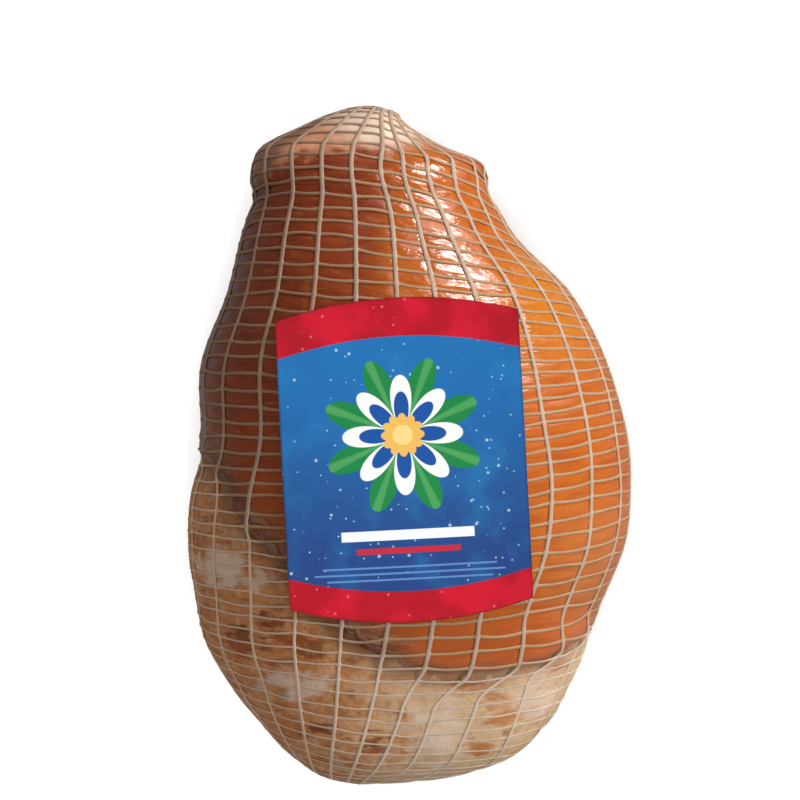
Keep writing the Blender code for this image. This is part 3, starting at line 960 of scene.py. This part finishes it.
def butt_colours(f, x, above, wound):
    """Trimmed fat: cream, browner to the left partly as painted shade, with orange-brown stains, dark lean, a
    pale film and a painted shadow under the skin's edge.
    """
    # Partly painted shade: the fat browns towards the left, the side turned from the key light.
    brown = (x + f.noise(0.04) * 0.05).step(0.035, -0.03)
    stain = f.noise(0.009, 4, 0.65, place=wound)
    mottle = f.noise(0.0045, 4, 0.7)
    speck = f.noise(0.0035, 4, 0.65, place=wound)
    edge = (speck - 0.5) * 2.4 + (f.noise(0.006, 3, 0.6) - 0.5) * 1.2
    stained = (f.attribute("stain") + edge).step(-0.05, 0.55)
    film = (f.attribute("film") + edge * 0.7).step(-0.1, 0.6)
    haze = f.noise(0.015, 3, 0.5).step(0.56, 0.68)
    lean = (f.attribute("lean") + edge * 1.2).step(-0.05, 0.6)
    deep = f.noise(0.022, 3, 0.55).step(0.66, 0.74)
    # Painted shadow: a broken brown band on the fat just below the skin's ledge.
    painted_ledge_shadow = above.step(-0.014, -0.002) * f.noise(0.008).step(0.2, 0.5)
    near_hem = above.step(-0.03, -0.004) * brown * f.noise(0.01, 3, 0.6).step(0.3, 0.6)
    return f.layers(
        f.mix(brown, (226, 190, 150), (210, 140, 84)),
        (stain.step(0.48, 0.64) * (brown * 0.5 + 0.3), (186, 112, 56)),
        (mottle.step(0.5, 0.62) * (brown * 0.3 + 0.2), (170, 100, 54)),
        (mottle.step(0.46, 0.36) * 0.35, (226, 200, 172)),
        ((speck - 0.07 + brown * 0.08).step(0.52, 0.66) * 0.6, (142, 74, 34)),
        (stained * (speck.step(0.36, 0.56) * 0.5 + 0.3), (198, 120, 60)),
        ((film * 0.75 + haze * 0.25).clamp(), (236, 210, 188)),
        ((lean + deep * 0.7).clamp() * 0.8, f.mix(stain.step(0.4, 0.6), (110, 46, 24), (160, 82, 40))),
        (painted_ledge_shadow * 0.75, (150, 98, 62)),
        (near_hem * 0.6, (146, 98, 66)),
    )


def ham_finish():
    """Moist smoked skin above its edge, and trimmed fat with patches of lean below it."""
    f = Finish("smoked_ham", 0.4, ior=1.3)
    x, y = f.axis("X"), f.axis("Y")
    above = f.attribute("above_edge")
    ragged = (f.noise(0.005, 4, 0.65) - 0.5) * (x.step(0.02, -0.03) * 0.013 + 0.003)
    skin = (above + ragged).step(-0.0012, 0.0012)
    wound = f.attribute("net_place", "Vector")
    f.drive("Base Color", f.mix(skin, butt_colours(f, x, above, wound), skin_colours(f, x, y, above, wound)))
    wet = f.noise(0.013, 2, 0.5).step(0.36, 0.46) * f.noise(0.003, 3, 0.6, place=wound).step(0.3, 0.46)
    drier = y.step(0.03, 0.06) * x.step(-0.035, -0.005)
    f.drive("Roughness", 0.6 - skin * ((1 - drier) * 0.26 + drier * wet * 0.42))
    wrinkle = f.noise(0.003, 3, 0.6, place=wound) * (y.step(0.0, 0.07) * 0.3 + 0.6)
    pores = f.noise(0.0011, 2, 0.5)
    grain = f.noise(0.004, 4, 0.6)
    hem = above.step(0.014, 0.006) * above.step(-0.003, 0.001) * x.step(0.012, -0.014)
    hem_folds = hem_lines(f, x, above) * hem * 2.5
    f.bump(skin * (wrinkle + pores * 0.12) + (1 - skin) * grain * 0.9 + hem_folds, 0.0012, 0.75)
    return f.material


def net_finish(name, colour, stained, smoky_and_shaded, roughness):
    """Knitted cotton over elastic: a chain of small stitches, stained by smoke, darker on the left as painted
    shade, and greasy over the fat.
    """
    f = Finish(name, roughness, ior=1.25)
    across, lengthwise = f.attribute("across"), f.attribute("lengthwise")
    stitch = abs((lengthwise * 700 + abs(across) * 0.8).op("FRACT") - 0.5) * 2
    fibre = f.noise(0.0005, 2, 0.6)
    stain = f.noise(0.012, 3, 0.6)
    base = f.mix(stain.step(0.35, 0.75) * 0.5, colour, stained)
    base = f.mix(stitch.step(0.75, 1.0) * 0.3, base, stained)
    # Smoke stain and painted shade: the net darkens towards the left, away from the key light, more so
    # towards the shank.
    net_smoke_and_shade = (f.axis("X") + f.noise(0.03) * 0.02).step(0.02, -0.06)
    base = f.mix(net_smoke_and_shade * (f.axis("Y").step(0.0, 0.06) * 0.28 + 0.32), base, smoky_and_shaded)
    greased = f.mix(net_smoke_and_shade, (244, 224, 202), (250, 216, 186))
    f.drive("Base Color", f.mix(f.attribute("on_fat") * 0.85, base, greased))
    f.bump(stitch * 0.8 + fibre * 0.5, 0.0005, 0.7)
    return f.material


def inside(distance, soft=SOFT_EDGE):
    """1 where the distance out of an edge is below 0, and 0 beyond it."""
    return distance.step(soft, -soft)


def flower_print(f, u, v, field):
    """A star flower of eight petals over eight leaves, in millimetres from the flower's heart."""
    radius = (u * u + v * v).op("SQRT")
    angle = v.op("ARCTAN2", u)
    petal_wave = abs((angle * 4).op("COSINE")).op("POWER", 0.8)
    leaf_wave = abs((angle * 4 + math.pi / 2).op("COSINE")).op("POWER", 0.7)
    heart_wave = abs((angle * 6).op("COSINE"))
    leaf = inside(radius - leaf_wave * 39) * radius.step(7.0, 7.3)
    return f.layers(
        field,
        (leaf, (23, 116, 60)),
        (leaf * leaf_wave.step(0.97, 0.995) * 0.5, (90, 160, 95)),
        (inside(radius - (petal_wave * 22 + 7)), (216, 216, 214)),
        (inside(radius - (petal_wave * 17 + 4)), (20, 72, 140)),
        (inside(radius - (heart_wave * 2 + 8.5)), (211, 165, 80)),
        (radius.step(5.0, 4.7), (216, 190, 120)),
    )


def blue_field(f, u, v, place, cloud):
    """The blue field with pale flecks of two sizes, the flower and the plain bars."""
    blue = f.mix(v.step(55, -60), (26, 98, 158), (32, 60, 116))
    blue = f.mix(cloud.step(0.45, 0.7) * 0.4, blue, (34, 116, 170))
    for size, largest, share in ((7.0, 0.15, 0.5), (3.6, 0.17, 0.66)):
        gap, chance = f.dots(size, place)
        shown = (chance + u.step(24, 50) * 0.4).step(share, share + 0.02)
        blue = f.mix(gap.step(largest, largest * 0.4) * shown * 0.75, blue, (168, 196, 214))
    field = flower_print(f, u, v - FLOWER_UP, blue)
    for middle, half_height, half_width, colour in PRINTED_BARS:
        bar = inside(abs(v - middle) - half_height, 0.15) * inside(abs(u) - half_width, 0.15)
        field = f.mix(bar, field, colour)
    return field


def label_finish():
    """The label's print on pale paper: a red band at each end, and between them the blue field."""
    f = Finish("printed_label", 0.34, ior=1.4)
    u, v = f.attribute("print_u"), f.attribute("print_v")
    place = f.vector(u, v, 0)
    cloud = f.noise(26, 3, 0.5, place=place)
    red = f.mix(cloud.step(0.42, 0.62), (160, 12, 30), (186, 18, 40))
    gap, chance = f.dots(5.0, place)
    red = f.mix(gap.step(0.18, 0.06) * chance.step(0.55, 0.57) * 0.55, red, (214, 120, 132))
    bands = inside(f.attribute("below_top") - TOP_BAND) + inside(f.attribute("above_bottom") - BOTTOM_BAND)
    face = f.mix(bands.clamp(), blue_field(f, u, v, place, cloud), red)
    f.drive("Base Color", f.mix(f.attribute("printed"), (204, 200, 192), face))
    f.drive("Roughness", f.noise(5, 3, 0.5, place=place) * 0.16 + 0.26)
    f.bump(f.noise(9, 4, 0.6, place=place), 0.0006, 0.35)
    return f.material


def floor_finish():
    f = Finish("pale_floor", 0.7)
    f.drive("Base Color", f.mix(f.noise(0.4) * 0.03, (238.6, 238.6, 238.6), (231.1, 231.1, 231.1)))
    return f.material


def flat_sheet(name, drop, material):
    """A wide level square at the given depth."""
    corners = [(x, y, -drop) for x, y in ((-1, -1), (1, -1), (1, 1), (-1, 1))]
    return new_object(name, np.array(corners) * (FLOOR_SIZE, FLOOR_SIZE, 1), [(0, 1, 2, 3)], material, False)


def make_floor():
    """The white floor, and just under it a card that alone throws light back at the ham, but isn't seen."""
    material = floor_finish()
    floor = flat_sheet("floor", FLOOR_DROP, material)
    card = flat_sheet("card", CARD_DROP, material)
    floor.visible_diffuse = floor.visible_shadow = False
    card.visible_camera = False
    for sheet in (floor, card):
        sheet.visible_glossy = False
    return floor


def area_light(name, toward, distance, size, power, lit, colour=(1, 1, 1)):
    """A soft light in the given direction from the ham's middle, for the given pieces alone."""
    light = bpy.data.lights.new(name, "AREA")
    light.shape = "RECTANGLE"
    light.size, light.size_y = size
    light.energy = power
    light.color = colour
    obj = bpy.data.objects.new(name, light)
    toward = Vector(toward).normalized()
    obj.location = Vector((0, 0, 0.08)) + distance * toward
    obj.rotation_euler = toward.to_track_quat("Z", "Y").to_euler()
    bpy.context.scene.collection.objects.link(obj)
    group = bpy.data.collections.new("lit_by_" + name)
    for piece in lit:
        group.objects.link(piece)
    obj.light_linking.receiver_collection = group
    return obj


def make_lights(ham_pieces, label_pieces, floor):
    """Key, kicker and gloss from the upper right for the ham, and soft light from above for the rest."""
    warm = (1.0, 0.98, 0.95)
    key = area_light("key", (0.75, 0.08, 0.62), 1.2, (0.5, 0.4), KEY_POWER, ham_pieces, warm)
    kicker = area_light("kicker", (0.53, 0.76, 0.37), 1.2, (0.28, 0.15), KICKER_POWER, ham_pieces, warm)
    sparkle = area_light("sparkle", (0.47, 0.8, 0.36), 1.2, (0.44, 0.4), SPARKLE_POWER, ham_pieces)
    overhead = area_light("overhead", (0, 0, 1), 2.2, (0.8, 0.8), OVERHEAD_POWER, label_pieces)
    sweep = area_light("sweep", (0, 0, 1), 2.2, (2.4, 2.4), SWEEP_POWER, [floor])
    for light in (key, kicker, overhead, sweep):
        light.visible_glossy = False
    sparkle.visible_diffuse = False

    world = bpy.data.worlds.new("studio")
    world.use_nodes = True
    world.node_tree.nodes["Background"].inputs["Color"].default_value = (1, 1, 1, 1)
    world.node_tree.nodes["Background"].inputs["Strength"].default_value = WORLD_STRENGTH
    bpy.context.scene.world = world
    bpy.context.scene.view_settings.view_transform = "Standard"


def make_camera():
    """Straight above, as the photograph looks at the labelled side, with the shank up."""
    camera = bpy.data.cameras.new("camera")
    camera.sensor_width = SENSOR
    camera.lens = SENSOR * (CAMERA_HEIGHT - CAMERA_MIDDLE) / CAMERA_SEES
    obj = bpy.data.objects.new("camera", camera)
    obj.location = (CAMERA_X - MIDDLE_X, CAMERA_Y - MIDDLE_Y, CAMERA_HEIGHT)
    bpy.context.scene.collection.objects.link(obj)
    bpy.context.scene.camera = obj


def main():
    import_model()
    make_camera()
    floor = make_floor()

    meat = ham_finish()
    # The last colour of each net is its smoke stain and painted shade, laid on its left.
    chain = net_finish("net_string", (204, 177, 155), (182, 146, 116), (150, 112, 86), 0.85)
    elastic = net_finish("net_ring", (192, 156, 120), (172, 128, 90), (142, 98, 70), 0.8)

    pieces = {
        "netted_ham": [make_ham(meat), make_strings(chain), make_rings(elastic)],
        "net_knot_shank": make_knot("shank_knot", 0, chain),
        "net_knot_butt": make_knot("butt_knot", -1, chain),
        "label": [make_label(label_finish())],
    }
    for node, made in pieces.items():
        for piece in made:
            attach(piece, "root")
            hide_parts(node)
    ham_pieces = [piece for node, made in pieces.items() if node != "label" for piece in made]
    make_lights(ham_pieces, pieces["label"], floor)

    bpy.context.view_layer.update()


main()
